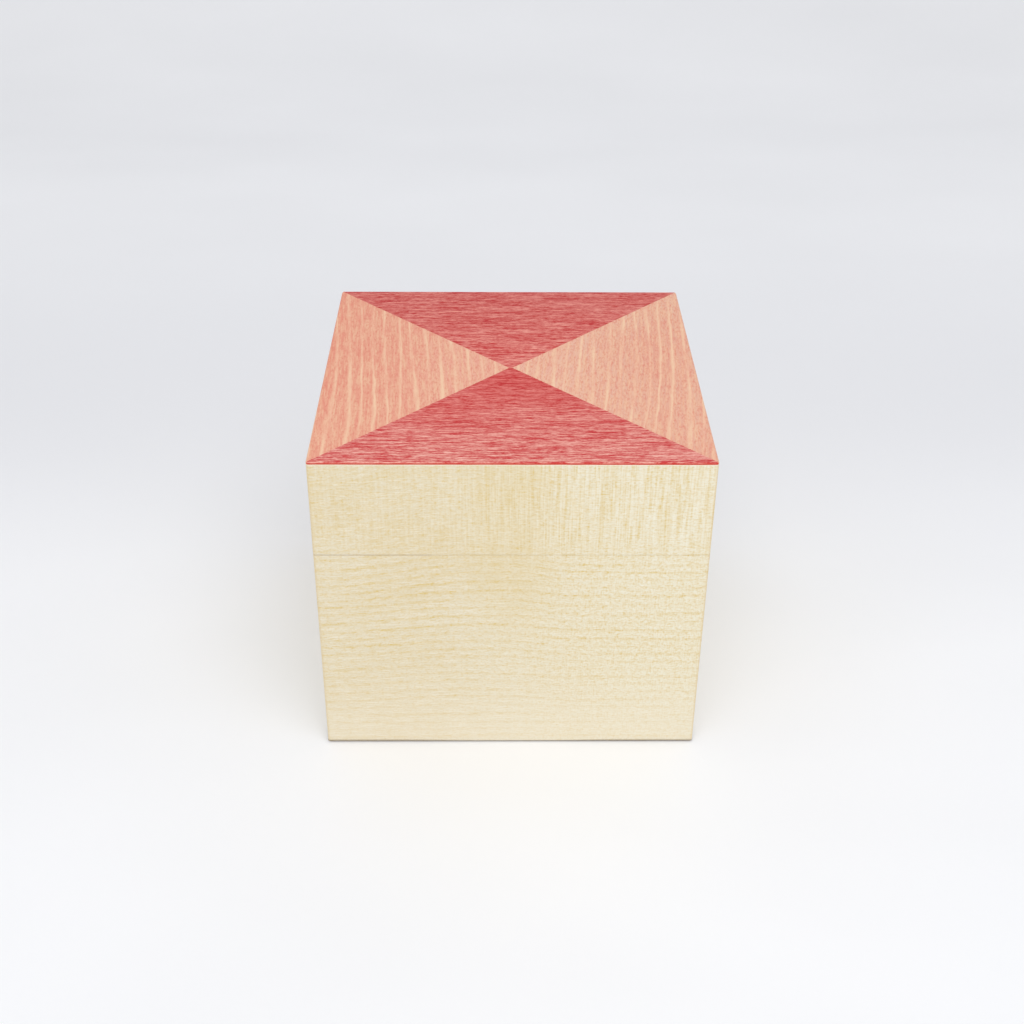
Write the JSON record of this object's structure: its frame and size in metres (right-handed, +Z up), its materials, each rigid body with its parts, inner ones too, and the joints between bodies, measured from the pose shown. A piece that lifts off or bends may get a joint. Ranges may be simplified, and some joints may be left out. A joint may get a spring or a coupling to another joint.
{
  "type": "puzzle box",
  "caption": "Pale hardwood puzzle box with a flush sliding lid, a top of red and pink veneer triangles, and hidden loose pins that lock the lid until the box is spun.",
  "frame": {"origin": "middle of the underside, which stands on the table", "axes": "+Z up, the front face looks along -Y, +X to the right seen from the front; the lid slides to +X"},
  "size_m": [0.09, 0.09, 0.0804],
  "materials": {
    "pale_hardwood": "fine-sanded pale figured hardwood, satin",
    "red_veneer": "dyed red veneer, satin",
    "pink_veneer": "dyed pink veneer with pale growth lines, satin",
    "panel_wood": "plain sanded panel",
    "block_wood": "waxed dense hardwood",
    "dowel_wood": "plain hardwood",
    "steel": "bright turned steel",
    "brass": "turned brass"
  },
  "bodies": {
    "box_body": {"body_front_wall": "pale_hardwood", "body_back_wall": "pale_hardwood", "body_left_wall": "pale_hardwood", "body_right_wall": "pale_hardwood", "body_corner_splines": "dowel_wood", "bottom_panel": "panel_wood", "keeper_base": "block_wood", "keeper_wall_cheek": "block_wood", "keeper_inner_cheek": "block_wood", "keeper_dowels": "dowel_wood"},
    "lid": {"lid_front_rail": "pale_hardwood", "lid_back_rail": "pale_hardwood", "lid_left_rail": "pale_hardwood", "lid_right_rail": "pale_hardwood", "veneer_front": "red_veneer", "veneer_back": "red_veneer", "veneer_left": "pink_veneer", "veneer_right": "pink_veneer", "lid_corner_splines": "dowel_wood", "lid_top_panel": "panel_wood", "runner_block_front": "block_wood", "runner_block_back": "block_wood", "runner_tongue_front": "dowel_wood", "runner_tongue_back": "dowel_wood", "runner_dowels": "dowel_wood", "pin_bush_front": "brass", "pin_bush_back": "brass"},
    "front_pin": {"lock_pin_front": "steel"},
    "back_pin": {"lock_pin_back": "steel"}
  },
  "joints": [
    {"name": "lid_slide", "type": "slide", "parent": "box_body", "child": "lid", "axis": [1, 0, 0], "range_m": [0, 0.05]},
    {"name": "front_pin_slide", "type": "slide", "parent": "lid", "child": "front_pin", "axis": [0, 1, 0], "range_m": [0, 0.007]},
    {"name": "back_pin_slide", "type": "slide", "parent": "lid", "child": "back_pin", "axis": [0, -1, 0], "range_m": [0, 0.007]}
  ]
}
